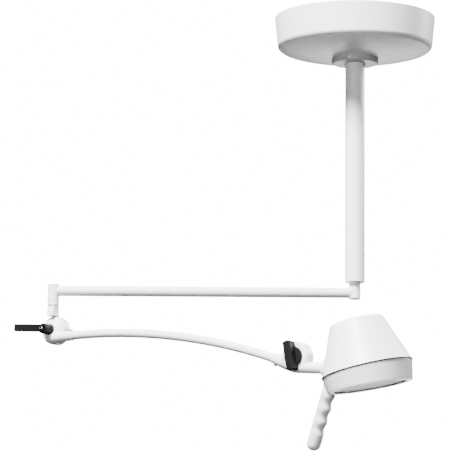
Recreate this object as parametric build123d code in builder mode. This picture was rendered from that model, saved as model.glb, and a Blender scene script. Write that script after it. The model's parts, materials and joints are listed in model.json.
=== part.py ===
from build123d import *
from math import atan2, cos, degrees, pi, radians, sin, sqrt
import os

os.makedirs("parts", exist_ok=True)

# Ceiling-hung dental operating light. Millimetres, +Z up. The origin is the middle of the
# face of the ceiling plate that lies against the ceiling; the upper arm runs towards -X.

# ---------------------------------------------------------------- driving dimensions
running_gap = 0.05          # radial clearance of a shaft in its bush
fixed_gap = 0.15            # clearance round a screw or a pin that does not turn
body_gap = 0.4              # half the gap between two hub halves

# ceiling plate, canopy and collar
plate_r = 150.0
plate_t = 8.0
cable_hole_r = 18.0
mount_hole_r = 5.5
mount_pitch_r = 125.0
mount_count = 4
canopy_top_r = 208.5
canopy_low_r = 200.5
canopy_rim_drop = 1.0
canopy_side_drop = 82.0
canopy_seat_r = 63.0
canopy_seat_drop = 107.0
canopy_corner_r = 14.0
canopy_wall = 2.5
collar_r = 60.0
collar_h = 15.0
collar_bore_r = 25.9
collar_recess_r = 28.6
collar_recess_h = 3.5
collar_edge_r = 4.0
collar_screw_angle = -110.0   # one of the three set screws, seen from the patient side

# drop tube and upper swivel
tube_r = 25.4
tube_bore_r = 22.4
tube_low = -697.0
flange_r = 65.0
flange_t = 8.0
flange_pitch_r = 50.0
sleeve_h = 95.0
sleeve_bore_r = 17.0
spindle_r = 14.5
spindle_bore_r = 9.5
spindle_top = -582.0
sleeve_screw_z = -620.0
sleeve_screw_angle = -28.0    # direction of the visible sleeve screw, from +X

# upper arm
upper_reach = 775.0
arm_z = -724.0
arm_r = 13.2
arm_wall = 2.5
post_r = 14.5
right_post_low = -740.4
left_post_low = -750.0
left_post_top = -709.0
left_post_bore_r = 11.0
cap_t = 2.2

# elbow knuckle and lift hub
elbow_swing = 36.0            # how far the lower arm is swung out at rest
elbow_spindle_r = 9.0
hub_r = 36.0
hub_setback = 7.5             # hub seam lies this far behind the elbow post axis
lift_z = -826.6
rear_half_t = 21.5
stem_half = 10.9              # along the hub axis, at the top of the stem
stem_flare = 5.2              # how far the front of the stem leans out at its foot
stem_side = 10.2              # across the hub axis
seam_w = 1.0                  # shadow groove beside a hub seam
seam_deep = 3.0
front_half_t = 20.5
leg_drop = 20.0
leg_mid = 13.4
lift_leg_l = 70.0
lift_leg_root_r = 14.5
lift_leg_end_r = 12.6

# curved lower arm
lower_tube_r = 10.85
lower_tube_wall = 2.0
lower_straight = 75.0
lower_bend_r = 1883.0
lower_bend_angle = 19.4
head_hub_run = 69.5           # from the end of the bend to abreast of the head hub
head_hub_rise = 21.0

# head knuckle
head_hub_shift = 5.0          # head hub seam forward of the lift hub seam
head_rear_r = 28.0
head_rear_t = 12.0
head_half_t = 29.0
head_hub_r = 38.0
stub_angle = -7.0             # slope of the lamp stub at rest
stub_drop = 23.5
stub_mid = 14.7
stub_l = 85.0
stub_root_r = 15.2
stub_end_r = 13.5
pivot_r = 9.0

# lamp head, on its own axis
head_distance = 208.7         # along the stub from the head hub to the lamp centre
lamp_lift = 4.5               # lamp centre above the stub axis
stub_rise = 17.6              # stub axis above the seam plane of the lamp
head_roll = 7.5               # turn of the lamp about the stub at rest
rim_r = 111.0
seam_half = 1.6
trim_r = 112.4
cone_top_r = 64.5
cone_top_z = 121.0
cone_dome = 4.0
cone_edge_r = 12.0
housing_wall = 2.8
boss_r = 23.0
boss_end = 121.5              # from the lamp centre to the end of the boss
face_r = 104.0
face_z = -43.0
face_shift = -3.0
face_tilt = 3.7
bezel_wall = 3.0
side_slope = 0.12             # how fast the bezel narrows on the handle side
lens_r = 94.0
window_r = 90.0

# ---------------------------------------------------------------- reference planes
swing = radians(elbow_swing)
along = Vector(cos(swing), -sin(swing), 0)        # horizontal, along the lower arm
front = Vector(-sin(swing), -cos(swing), 0)       # hub axes, towards the levers
upright = Vector(0, 0, 1)

elbow = Vector(-upper_reach, 0, 0)
lift_plane = Plane(origin=elbow - front * hub_setback + upright * lift_z, x_dir=along, z_dir=front)

bend = radians(lower_bend_angle)
bend_end = Vector(
    lower_straight + lower_bend_r * sin(bend),
    -leg_drop - lower_bend_r * (1 - cos(bend)),
    leg_mid,
)
arm_end_dir = Vector(cos(bend), -sin(bend), 0)
arm_end_up = Vector(sin(bend), cos(bend), 0)
head_hub_local = bend_end + arm_end_dir * head_hub_run + arm_end_up * head_hub_rise
head_hub_local = Vector(head_hub_local.X, head_hub_local.Y, head_hub_shift)
head_hub = lift_plane.from_local_coords(head_hub_local)
head_arm_plane = Plane(
    origin=head_hub, x_dir=along * cos(bend) - upright * sin(bend), z_dir=front
)
stub = radians(stub_angle)
stub_plane = Plane(origin=head_hub, x_dir=along * cos(stub) + upright * sin(stub), z_dir=front)
stub_axis_dir = stub_plane.x_dir

rise = radians(stub_rise)
roll = radians(head_roll)
lamp_centre = stub_plane.from_local_coords(Vector(head_distance, lamp_lift - stub_drop, stub_mid))
rolled_up = stub_plane.y_dir * cos(roll) + stub_plane.z_dir * sin(roll)
lamp_up = rolled_up * cos(rise) - stub_axis_dir * sin(rise)
lamp_out = stub_axis_dir * cos(rise) + rolled_up * sin(rise)
lamp_plane = Plane(origin=lamp_centre, x_dir=lamp_out, z_dir=lamp_up)
tilt = radians(face_tilt)
face_plane = Plane(
    origin=lamp_plane.from_local_coords(Vector(face_shift, 0, face_z)),
    x_dir=lamp_out * cos(tilt) - lamp_up * sin(tilt),
    z_dir=lamp_up * cos(tilt) + lamp_out * sin(tilt),
)


def profile_plane(base):
    """Plane through the axis of base: local x is the radius, local y runs along the axis."""
    return Plane(origin=base.origin, x_dir=base.x_dir, z_dir=-base.y_dir)


def axis_of(base):
    """The axis that a profile on profile_plane(base) is turned about."""
    return Axis(base.origin, base.z_dir)


def shifted(base, x, y, z=0.0):
    """The same plane with its origin moved by local x, y and z."""
    return Plane(
        origin=base.from_local_coords(Vector(x, y, z)), x_dir=base.x_dir, z_dir=base.z_dir
    )


def turned(base, angle):
    """The same plane turned about its own z by an angle in degrees."""
    turn = radians(angle)
    x_dir = base.x_dir * cos(turn) + base.y_dir * sin(turn)
    return Plane(origin=base.origin, x_dir=x_dir, z_dir=base.z_dir)


def ring(inner, outer, low, high):
    """Cross-section of a ring, for a profile plane."""
    with Locations(((inner + outer) / 2, (low + high) / 2)):
        Rectangle(outer - inner, high - low)


def outline(*points):
    """Closed straight-sided face through the points, in the current sketch."""
    Polygon(*points, align=None)


def raised(seats, height):
    """The same planes, each moved along its own z."""
    return [seat.offset(height) for seat in seats]


def socket_screws(name, seats, shank_r, shank_l, head_r, head_h):
    """Make and export socket screws: heads on the seat planes, shanks below them."""
    with BuildPart() as screws:
        with BuildSketch(*seats):
            Circle(head_r)
        extrude(amount=head_h)
        with BuildSketch(*seats):
            Circle(shank_r)
        extrude(amount=-shank_l)
        tops = screws.faces().filter_by(GeomType.PLANE).filter_by(is_screw_top(seats, head_h))
        chamfer(tops.edges(), length=0.15 * head_h)
        with BuildSketch(*raised(seats, head_h)):
            RegularPolygon(head_r * 0.5, 6)
        extrude(amount=-head_h * 0.6, mode=Mode.SUBTRACT)
    screws.part.label = name
    export_step(screws.part, f"parts/{name}.step")


def is_screw_top(seats, head_h):
    """Test for faces that lie on top of a screw head."""
    tops = [seat.origin + seat.z_dir * head_h for seat in seats]
    return lambda face: min((face.center() - top).length for top in tops) < 0.05


def polar_spots(radius, count, start):
    """Points evenly spaced on a circle."""
    spots = []
    for index in range(count):
        angle = radians(start + 360 * index / count)
        spots.append((radius * cos(angle), radius * sin(angle)))
    return spots


# ---------------------------------------------------------------- ceiling plate and its fittings
flange_spots = polar_spots(flange_pitch_r, 4, 0)
flange_screw_r = 4.0
flange_low = -plate_t - flange_t

psu_x = -104.0
psu_size = (58.0, 128.0, 36.0)
psu_lug = 10.0
terminal_x = 104.0
terminal_size = (22.0, 62.0, 20.0)
earth_y = 104.0
earth_r = 3.0

with BuildPart() as ceiling_plate:
    with BuildSketch(Plane.XY.offset(-plate_t)):
        Circle(plate_r)
        Circle(cable_hole_r, mode=Mode.SUBTRACT)
        with PolarLocations(mount_pitch_r, mount_count, start_angle=45):
            Circle(mount_hole_r, mode=Mode.SUBTRACT)
        with Locations(*flange_spots):
            Circle(flange_screw_r + fixed_gap, mode=Mode.SUBTRACT)
        with Locations((0, earth_y)):
            Circle(earth_r + fixed_gap, mode=Mode.SUBTRACT)
    extrude(amount=plate_t)
    chamfer(ceiling_plate.edges().group_by(Axis.Z)[0].sort_by(SortBy.RADIUS)[-1], length=1.0)
ceiling_plate.part.label = "ceiling_plate"
export_step(ceiling_plate.part, "parts/ceiling_plate.step")

with BuildPart() as drop_tube:
    with BuildSketch(Plane.XZ):
        ring(tube_bore_r, tube_r, tube_low, -plate_t)
        ring(tube_bore_r, flange_r, flange_low, -plate_t)
    revolve(axis=Axis.Z)
    weld_edge = drop_tube.edges().filter_by(GeomType.CIRCLE).filter_by(
        lambda edge: abs(edge.radius - tube_r) < 0.01 and edge.center().Z > tube_low / 2
    )
    fillet(weld_edge, radius=4.0)
    chamfer(drop_tube.edges().group_by(Axis.Z)[0].sort_by(SortBy.RADIUS)[-1], length=0.8)
    with BuildSketch(Plane.XY.offset(-plate_t)):
        with Locations(*flange_spots):
            Circle(flange_screw_r + fixed_gap)
    extrude(amount=-flange_t, mode=Mode.SUBTRACT)
    screw_dir = Vector(cos(radians(sleeve_screw_angle)), sin(radians(sleeve_screw_angle)), 0)
    with BuildSketch(Plane(origin=(0, 0, sleeve_screw_z), z_dir=screw_dir)):
        Circle(3.0 + fixed_gap)
    extrude(amount=tube_r + 2, both=True, mode=Mode.SUBTRACT)
drop_tube.part.label = "drop_tube"
export_step(drop_tube.part, "parts/drop_tube.step")

flange_seats = [Plane(origin=(x, y, flange_low), z_dir=-upright) for x, y in flange_spots]
socket_screws("flange_screws", flange_seats, flange_screw_r, 14.0, 6.5, 8.0)

with BuildPart() as power_supply:
    with BuildSketch(Plane.XY.offset(-plate_t)):
        with Locations((psu_x, 0)):
            RectangleRounded(psu_size[0], psu_size[1] - 2 * psu_lug, 4)
    extrude(amount=-psu_size[2])
    fillet(power_supply.edges().group_by(Axis.Z)[0], radius=2.0)
    with BuildSketch(Plane.XY.offset(-plate_t)):
        with Locations((psu_x, 0)):
            RectangleRounded(psu_size[0] - 20, psu_size[1], 4)
    extrude(amount=-3.0)
    with BuildSketch(Plane.XY.offset(-plate_t)):
        with Locations((psu_x, psu_size[1] / 2 - 5), (psu_x, 5 - psu_size[1] / 2)):
            Circle(2.2)
    extrude(amount=-3.0, mode=Mode.SUBTRACT)
    with BuildSketch(Plane.XY.offset(-plate_t - psu_size[2])):
        with GridLocations(0, 9.0, 1, 9):
            with Locations((psu_x, 0)):
                SlotOverall(34, 3)
    extrude(amount=1.2, mode=Mode.SUBTRACT)
power_supply.part.label = "power_supply"
export_step(power_supply.part, "parts/power_supply.step")

with BuildPart() as terminal_block:
    with BuildSketch(Plane.XY.offset(-plate_t)):
        with Locations((terminal_x, 0)):
            RectangleRounded(terminal_size[0], terminal_size[1], 2)
    extrude(amount=-terminal_size[2])
    with BuildSketch(Plane.XY.offset(-plate_t - terminal_size[2])):
        with Locations((terminal_x - 4, 0)):
            with GridLocations(0, 15.0, 1, 4):
                Circle(3.0)
    extrude(amount=12.0, mode=Mode.SUBTRACT)
    with BuildSketch(Plane(origin=(terminal_x, 0, -plate_t - 9), z_dir=(1, 0, 0))):
        with GridLocations(15.0, 0, 4, 1):
            Circle(2.2)
    extrude(amount=terminal_size[0] / 2, mode=Mode.SUBTRACT)
terminal_block.part.label = "terminal_block"
export_step(terminal_block.part, "parts/terminal_block.step")

with BuildPart() as earth_stud:
    with BuildSketch(Plane.XY.offset(-1.0)):
        with Locations((0, earth_y)):
            Circle(earth_r)
    extrude(amount=-27.0)
    with BuildSketch(Plane.XY.offset(-plate_t)):
        with Locations((0, earth_y)):
            Circle(7.0)
    extrude(amount=-1.5)
    with BuildSketch(Plane.XY.offset(-plate_t - 1.5)):
        with Locations((0, earth_y)):
            RegularPolygon(5.8, 6)
    extrude(amount=-5.0)
earth_stud.part.label = "earth_stud"
export_step(earth_stud.part, "parts/earth_stud.step")

# ---------------------------------------------------------------- canopy and collar
with BuildPart() as canopy:
    with BuildSketch(Plane.XZ):
        with BuildLine():
            Line((0, -canopy_rim_drop), (canopy_top_r, -canopy_rim_drop))
            Line((canopy_top_r, -canopy_rim_drop), (canopy_low_r, -canopy_side_drop))
            dome_mid_r = (canopy_low_r + canopy_seat_r) / 2
            dome_mid_drop = (canopy_side_drop + canopy_seat_drop) / 2 + 4.5
            ThreePointArc(
                (canopy_low_r, -canopy_side_drop),
                (dome_mid_r, -dome_mid_drop),
                (canopy_seat_r, -canopy_seat_drop),
            )
            Line((canopy_seat_r, -canopy_seat_drop), (0, -canopy_seat_drop))
            Line((0, -canopy_seat_drop), (0, -canopy_rim_drop))
        make_face()
    revolve(axis=Axis.Z)
    corner = canopy.edges().filter_by(GeomType.CIRCLE).filter_by(
        lambda edge: abs(edge.radius - canopy_low_r) < 0.01
    )
    fillet(corner, radius=canopy_corner_r)
    offset(amount=-canopy_wall, openings=canopy.faces().sort_by(Axis.Z)[-1])
    with BuildSketch(Plane.XY.offset(-canopy_seat_drop)):
        Circle(collar_bore_r)
    extrude(amount=canopy_wall + 2, mode=Mode.SUBTRACT)
canopy.part.label = "canopy"
export_step(canopy.part, "parts/canopy.step")

collar_top = -canopy_seat_drop
collar_low = collar_top - collar_h
collar_screw_r = 4.0
collar_screw_z = collar_low + 8.0


def collar_screw_planes():
    """Planes at the drop tube's axis whose z points along each of the three set screws."""
    planes = []
    for spot in polar_spots(1.0, 3, collar_screw_angle):
        planes.append(Plane(origin=(0, 0, collar_screw_z), z_dir=(spot[0], spot[1], 0)))
    return planes


with BuildPart() as canopy_collar:
    with BuildSketch(Plane.XZ):
        ring(collar_bore_r, collar_r, collar_low, collar_top)
    revolve(axis=Axis.Z)
    fillet(canopy_collar.edges().group_by(Axis.Z)[0].sort_by(SortBy.RADIUS)[-1], radius=collar_edge_r)
    with BuildSketch(Plane.XY.offset(collar_low)):
        Circle(collar_recess_r)
    extrude(amount=collar_recess_h, mode=Mode.SUBTRACT)
    for radial in collar_screw_planes():
        with BuildSketch(radial):
            Circle(collar_screw_r + fixed_gap)
        extrude(amount=collar_r + 2, mode=Mode.SUBTRACT)
canopy_collar.part.label = "canopy_collar"
export_step(canopy_collar.part, "parts/canopy_collar.step")

with BuildPart() as collar_set_screws:
    for radial in collar_screw_planes():
        with BuildSketch(radial.offset(tube_r + 0.1)):
            Circle(collar_screw_r)
        extrude(amount=26.0)
        with BuildSketch(radial.offset(tube_r + 26.1)):
            RegularPolygon(2.3, 6)
        extrude(amount=-4.0, mode=Mode.SUBTRACT)
collar_set_screws.part.label = "collar_set_screws"
export_step(collar_set_screws.part, "parts/collar_set_screws.step")

# ---------------------------------------------------------------- upper swivel bearing
sleeve_low = tube_low + 2.0
sleeve_top = sleeve_low + sleeve_h
bush_flange_t = 2.0
stop_lug_h = 18.0
stop_pin_z = -590.0

with BuildPart() as bearing_sleeve:
    with BuildSketch(Plane.XZ):
        ring(sleeve_bore_r, tube_bore_r - 0.05, sleeve_low, sleeve_top)
    revolve(axis=Axis.Z)
    with BuildSketch(Plane.XY.offset(sleeve_top)):
        Circle(tube_bore_r - 0.05)
        Circle(19.2, mode=Mode.SUBTRACT)
        with Locations((-10, 0)):
            Rectangle(60, 80, mode=Mode.SUBTRACT)
        with Locations((20, 23)):
            Rectangle(20, 40, mode=Mode.SUBTRACT)
        with Locations((20, -23)):
            Rectangle(20, 40, mode=Mode.SUBTRACT)
    extrude(amount=stop_lug_h)
    with BuildSketch(Plane(origin=(0, 0, sleeve_screw_z), z_dir=screw_dir)):
        Circle(3.0 + fixed_gap)
    extrude(amount=tube_r, both=True, mode=Mode.SUBTRACT)
bearing_sleeve.part.label = "bearing_sleeve"
export_step(bearing_sleeve.part, "parts/bearing_sleeve.step")

with BuildPart() as swivel_bush_lower:
    with BuildSketch(Plane.XZ):
        ring(spindle_r + running_gap, sleeve_bore_r - 0.02, sleeve_low, sleeve_low + 24)
        ring(spindle_r + running_gap, tube_bore_r - 0.1, sleeve_low - bush_flange_t, sleeve_low)
    revolve(axis=Axis.Z)
    chamfer(swivel_bush_lower.edges().group_by(Axis.Z)[0].sort_by(SortBy.RADIUS)[-1], length=0.6)
swivel_bush_lower.part.label = "swivel_bush_lower"
export_step(swivel_bush_lower.part, "parts/swivel_bush_lower.step")

with BuildPart() as swivel_bush_upper:
    with BuildSketch(Plane.XZ):
        ring(spindle_r + running_gap, sleeve_bore_r - 0.02, sleeve_top - 20, sleeve_top)
        ring(spindle_r + running_gap, 18.6, sleeve_top, sleeve_top + 1.5)
    revolve(axis=Axis.Z)
swivel_bush_upper.part.label = "swivel_bush_upper"
export_step(swivel_bush_upper.part, "parts/swivel_bush_upper.step")

sleeve_seats = []
for side in (1, -1):
    sleeve_seats.append(Plane(origin=(0, 0, sleeve_screw_z), z_dir=screw_dir * side).offset(tube_r))
socket_screws("sleeve_screws", sleeve_seats, 3.0, 7.0, 3.6, 1.6)

# ---------------------------------------------------------------- upper arm
arm_plane = Plane(origin=(0, 0, arm_z), x_dir=(0, 1, 0), z_dir=(-1, 0, 0))
clip_low = sleeve_top + 3.2

with BuildPart() as swivel_arm:
    with BuildSketch(Plane.XY.offset(right_post_low + cap_t)):
        Circle(post_r)
    extrude(amount=spindle_top - right_post_low - cap_t)
    with BuildSketch(Plane(origin=elbow + upright * left_post_low)):
        Circle(post_r)
    extrude(amount=left_post_top - left_post_low)
    with BuildSketch(arm_plane):
        Circle(arm_r)
    extrude(amount=upper_reach)
    with BuildSketch(arm_plane.offset(post_r)):
        Circle(arm_r - arm_wall)
    extrude(amount=upper_reach - 2 * post_r, mode=Mode.SUBTRACT)
    with BuildSketch(Plane.XY.offset(right_post_low)):
        Circle(spindle_bore_r)
    extrude(amount=spindle_top - right_post_low, mode=Mode.SUBTRACT)
    with BuildSketch(Plane(origin=elbow + upright * left_post_low)):
        Circle(left_post_bore_r)
    extrude(amount=left_post_top - left_post_low, mode=Mode.SUBTRACT)
    with BuildSketch(arm_plane):
        Circle(7.0)
    extrude(amount=upper_reach, mode=Mode.SUBTRACT)
    with BuildSketch(Plane.XZ):
        ring(spindle_r - 1.2, spindle_r + 1, clip_low - 0.1, clip_low + 1.9)
    revolve(axis=Axis.Z, mode=Mode.SUBTRACT)
    with BuildSketch(Plane(origin=(0, 0, stop_pin_z), z_dir=(-1, 0, 0))):
        Circle(2.5 + 0.02)
    extrude(amount=spindle_r + 1, mode=Mode.SUBTRACT)
swivel_arm.part.label = "swivel_arm"
export_step(swivel_arm.part, "parts/swivel_arm.step")

with BuildPart() as swivel_thrust_washer:
    with BuildSketch(Plane.XZ):
        ring(spindle_r + 0.1, 18.4, sleeve_top + 1.55, clip_low - 0.05)
    revolve(axis=Axis.Z)
swivel_thrust_washer.part.label = "swivel_thrust_washer"
export_step(swivel_thrust_washer.part, "parts/swivel_thrust_washer.step")

with BuildPart() as swivel_retaining_ring:
    with BuildSketch(Plane.XZ):
        ring(spindle_r - 1.1, 18.2, clip_low, clip_low + 1.8)
    revolve(axis=Axis.Z, revolution_arc=320)
swivel_retaining_ring.part.label = "swivel_retaining_ring"
export_step(swivel_retaining_ring.part, "parts/swivel_retaining_ring.step")

with BuildPart() as swivel_stop_pin:
    with BuildSketch(Plane(origin=(-spindle_bore_r - 0.5, 0, stop_pin_z), z_dir=(-1, 0, 0))):
        Circle(2.5)
    extrude(amount=11.5)
swivel_stop_pin.part.label = "swivel_stop_pin"
export_step(swivel_stop_pin.part, "parts/swivel_stop_pin.step")

with BuildPart() as post_end_cap:
    with BuildSketch(Plane.XY.offset(right_post_low)):
        Circle(post_r)
    extrude(amount=cap_t)
    chamfer(post_end_cap.edges().group_by(Axis.Z)[0], length=0.8)
    with BuildSketch(Plane.XY.offset(right_post_low + cap_t)):
        Circle(spindle_bore_r - 0.05)
    extrude(amount=3.0)
post_end_cap.part.label = "post_end_cap"
export_step(post_end_cap.part, "parts/post_end_cap.step")

with BuildPart() as elbow_top_cap:
    with BuildSketch(Plane(origin=elbow + upright * left_post_top)):
        Circle(post_r)
    extrude(amount=1.6)
    fillet(elbow_top_cap.edges().group_by(Axis.Z)[-1], radius=0.8)
    with BuildSketch(Plane(origin=elbow + upright * left_post_top)):
        Circle(left_post_bore_r - 0.05)
    extrude(amount=-1.5)
elbow_top_cap.part.label = "elbow_top_cap"
export_step(elbow_top_cap.part, "parts/elbow_top_cap.step")

elbow_axis_plane = Plane(origin=elbow)
elbow_bush_low = left_post_low - 1.5

with BuildPart() as elbow_bush_lower:
    with BuildSketch(profile_plane(elbow_axis_plane)):
        ring(elbow_spindle_r + running_gap, left_post_bore_r - 0.02, left_post_low, left_post_low + 14)
        ring(elbow_spindle_r + running_gap, post_r - 0.4, elbow_bush_low, left_post_low)
    revolve(axis=axis_of(elbow_axis_plane))
elbow_bush_lower.part.label = "elbow_bush_lower"
export_step(elbow_bush_lower.part, "parts/elbow_bush_lower.step")

with BuildPart() as elbow_bush_upper:
    with BuildSketch(profile_plane(elbow_axis_plane)):
        ring(elbow_spindle_r + running_gap, left_post_bore_r - 0.02, left_post_top - 17, left_post_top - 7)
    revolve(axis=axis_of(elbow_axis_plane))
elbow_bush_upper.part.label = "elbow_bush_upper"
export_step(elbow_bush_upper.part, "parts/elbow_bush_upper.step")

# ---------------------------------------------------------------- elbow knuckle
elbow_clip_low = left_post_top - 6.9
elbow_clip_t = 1.2
knuckle_top = elbow_bush_low - body_gap
collar_drop = 9.0
spindle_depth = 26.0
axle_r = 6.0
axle_head_h = 7.0
friction_r = 29.0
friction_t = 1.3
recess_t = 1.1
stem_plane = Plane(origin=lift_plane.origin, x_dir=front, z_dir=-along)
stem_back = hub_setback - stem_half - 1.0
stem_front = hub_setback + stem_half
stem_foot = stem_front + stem_flare
stem_low = hub_r + 0.8
stem_top = knuckle_top - collar_drop - lift_z

with BuildPart() as elbow_knuckle:
    with BuildSketch(lift_plane.offset(-rear_half_t)):
        Circle(hub_r)
    extrude(amount=rear_half_t - body_gap)
    fillet(elbow_knuckle.faces().sort_by(Axis(lift_plane.origin, front))[0].edges(), radius=4.0)
    with BuildSketch(stem_plane):
        outline(
            (-body_gap, 8),
            (-body_gap, stem_low),
            (stem_foot, stem_low),
            (stem_front, stem_top),
            (stem_back, stem_top),
            (stem_back, 40),
            (-rear_half_t / 2, 31),
            (-rear_half_t / 2, 8),
        )
    extrude(amount=stem_side, both=True)
    stem_edges = elbow_knuckle.edges().filter_by(
        lambda edge: edge.center().Z - lift_z > hub_r + 4 and edge.length > 20
    )
    chamfer(stem_edges, length=1.6)
    with BuildSketch(Plane(origin=elbow + upright * knuckle_top)):
        Circle(post_r)
    extrude(amount=-collar_drop - 0.5)
    with BuildSketch(Plane(origin=elbow + upright * knuckle_top)):
        Circle(elbow_spindle_r + 0.02)
    extrude(amount=-spindle_depth, mode=Mode.SUBTRACT)
    with BuildSketch(lift_plane.offset(-rear_half_t)):
        Circle(axle_r + fixed_gap)
    extrude(amount=rear_half_t, mode=Mode.SUBTRACT)
    with BuildSketch(lift_plane.offset(-rear_half_t)):
        RegularPolygon(11.2, 6)
    extrude(amount=axle_head_h + 0.5, mode=Mode.SUBTRACT)
    with BuildSketch(lift_plane.offset(-body_gap - recess_t)):
        Circle(friction_r + 0.3)
    extrude(amount=recess_t, mode=Mode.SUBTRACT)
elbow_knuckle.part.label = "elbow_knuckle"
export_step(elbow_knuckle.part, "parts/elbow_knuckle.step")

with BuildPart() as elbow_spindle:
    with BuildSketch(profile_plane(elbow_axis_plane)):
        ring(3.5, elbow_spindle_r, knuckle_top - spindle_depth, left_post_top - 2.6)
    revolve(axis=axis_of(elbow_axis_plane))
    with BuildSketch(profile_plane(elbow_axis_plane)):
        ring(8.1, 13, elbow_clip_low - 0.1, elbow_clip_low + elbow_clip_t + 0.1)
    revolve(axis=axis_of(elbow_axis_plane), mode=Mode.SUBTRACT)
elbow_spindle.part.label = "elbow_spindle"
export_step(elbow_spindle.part, "parts/elbow_spindle.step")

with BuildPart() as elbow_retaining_ring:
    with BuildSketch(profile_plane(elbow_axis_plane)):
        ring(8.2, 10.6, elbow_clip_low, elbow_clip_low + elbow_clip_t)
    revolve(axis=axis_of(elbow_axis_plane), revolution_arc=310)
elbow_retaining_ring.part.label = "elbow_retaining_ring"
export_step(elbow_retaining_ring.part, "parts/elbow_retaining_ring.step")

lever_seat = 20.6
spring_seat = 18.0
face_ring_r = 27.0

with BuildPart() as lift_axle_bolt:
    with BuildSketch(lift_plane.offset(-rear_half_t + 0.6)):
        RegularPolygon(10.8, 6)
    extrude(amount=axle_head_h - 0.4)
    with BuildSketch(lift_plane.offset(-rear_half_t + 2)):
        Circle(axle_r)
    extrude(amount=rear_half_t - 2 + 42)
lift_axle_bolt.part.label = "lift_axle_bolt"
export_step(lift_axle_bolt.part, "parts/lift_axle_bolt.step")

with BuildPart() as lift_friction_disc:
    with BuildSketch(lift_plane.offset(-body_gap - recess_t)):
        Circle(friction_r)
        Circle(axle_r + 0.6, mode=Mode.SUBTRACT)
    extrude(amount=friction_t)
lift_friction_disc.part.label = "lift_friction_disc"
export_step(lift_friction_disc.part, "parts/lift_friction_disc.step")

with BuildPart() as lift_disc_springs:
    for index in range(2):
        base = spring_seat + 0.15 + 1.15 * index
        with BuildSketch(profile_plane(lift_plane)):
            if index == 0:
                outline(
                    (axle_r + 0.3, base + 0.5),
                    (13.0, base),
                    (13.0, base + 0.6),
                    (axle_r + 0.3, base + 1.1),
                )
            else:
                outline(
                    (axle_r + 0.3, base),
                    (13.0, base + 0.5),
                    (13.0, base + 1.1),
                    (axle_r + 0.3, base + 0.6),
                )
        revolve(axis=axis_of(lift_plane))
lift_disc_springs.part.label = "lift_disc_springs"
export_step(lift_disc_springs.part, "parts/lift_disc_springs.step")

# ---------------------------------------------------------------- lift hub and curved arm
leg_axis = Axis(shifted(lift_plane, 0, -leg_drop, leg_mid).origin, along)
leg_profile = shifted(lift_plane, 0, -leg_drop, leg_mid)
socket_r = lower_tube_r + 0.05
lift_socket_start = 40.0
screw_x = 64.0

with BuildPart() as lift_hub:
    with BuildSketch(profile_plane(lift_plane)):
        outline(
            (0, body_gap),
            (hub_r, body_gap),
            (hub_r, 5.5),
            (face_ring_r + 1.5, 14.5),
            (face_ring_r, 14.5),
            (face_ring_r - 7.0, front_half_t - 1.0),
            (16.5, front_half_t),
            (15.0, front_half_t),
            (15.0, spring_seat),
            (0, spring_seat),
        )
    revolve(axis=axis_of(lift_plane))
    rim = lift_hub.edges().filter_by(GeomType.CIRCLE).filter_by(
        lambda edge: abs(edge.radius - hub_r) < 0.01
        and lift_plane.to_local_coords(edge.center()).Z > 5
    )
    fillet(rim, radius=4.5)
    with BuildSketch(profile_plane(lift_plane)):
        ring(hub_r - seam_deep, hub_r + 1, body_gap - 0.1, body_gap + seam_w)
    revolve(axis=axis_of(lift_plane), mode=Mode.SUBTRACT)
    with BuildSketch(leg_profile):
        outline((0, 0), (0, lift_leg_root_r), (lift_leg_l, lift_leg_end_r), (lift_leg_l, 0))
    revolve(axis=leg_axis)
    with BuildSketch(Plane(origin=leg_profile.origin, z_dir=along).offset(lift_socket_start)):
        Circle(socket_r)
    extrude(amount=lift_leg_l, mode=Mode.SUBTRACT)
    with BuildSketch(lift_plane.offset(spring_seat)):
        Circle(15.0)
    extrude(amount=front_half_t, mode=Mode.SUBTRACT)
    with BuildSketch(lift_plane.offset(body_gap)):
        Circle(hub_r + 1)
    extrude(amount=-4.0, mode=Mode.SUBTRACT)
    with BuildSketch(lift_plane):
        Circle(axle_r + 0.4)
    extrude(amount=front_half_t + 5, mode=Mode.SUBTRACT)
    with BuildSketch(Plane(origin=leg_profile.from_local_coords(Vector(screw_x, 0, 0)), z_dir=upright)):
        Circle(2.5 + fixed_gap)
    extrude(amount=lift_leg_root_r + 2, mode=Mode.SUBTRACT)
    with BuildSketch(Plane(origin=leg_profile.from_local_coords(Vector(30, 0, 0)), z_dir=-upright)):
        Circle(2.5 + fixed_gap)
    extrude(amount=lift_leg_root_r + 2, mode=Mode.SUBTRACT)
lift_hub.part.label = "lift_hub"
export_step(lift_hub.part, "parts/lift_hub.step")

lower_plane = lift_plane.offset(leg_mid)
tube_start = lift_socket_start + 1.0
tube_tail = 31.0

with BuildPart() as curved_arm:
    with BuildLine(lower_plane) as arm_path:
        run_in = Line((tube_start, -leg_drop), (lower_straight, -leg_drop))
        sweep_arc = JernArc(run_in @ 1, (1, 0), radius=lower_bend_r, arc_size=-lower_bend_angle)
        PolarLine(sweep_arc @ 1, length=tube_tail, direction=sweep_arc % 1)
    with BuildSketch(Plane(origin=arm_path.line @ 0, z_dir=arm_path.line % 0)):
        Circle(lower_tube_r)
        Circle(lower_tube_r - lower_tube_wall, mode=Mode.SUBTRACT)
    sweep()
curved_arm.part.label = "curved_arm"
export_step(curved_arm.part, "parts/curved_arm.step")

# ---------------------------------------------------------------- head knuckle, arm side
head_leg_l = 74.0
head_leg_root = 33.0
head_leg_root_r = 17.0
head_leg_end_r = 12.3
head_leg_z = leg_mid - head_hub_shift
head_leg_plane = shifted(head_arm_plane, 0, -head_hub_rise, head_leg_z)
head_leg_axis = Axis(head_leg_plane.origin, head_arm_plane.x_dir)
head_axle_r = 5.0
lower_screw_x = -62.0

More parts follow.
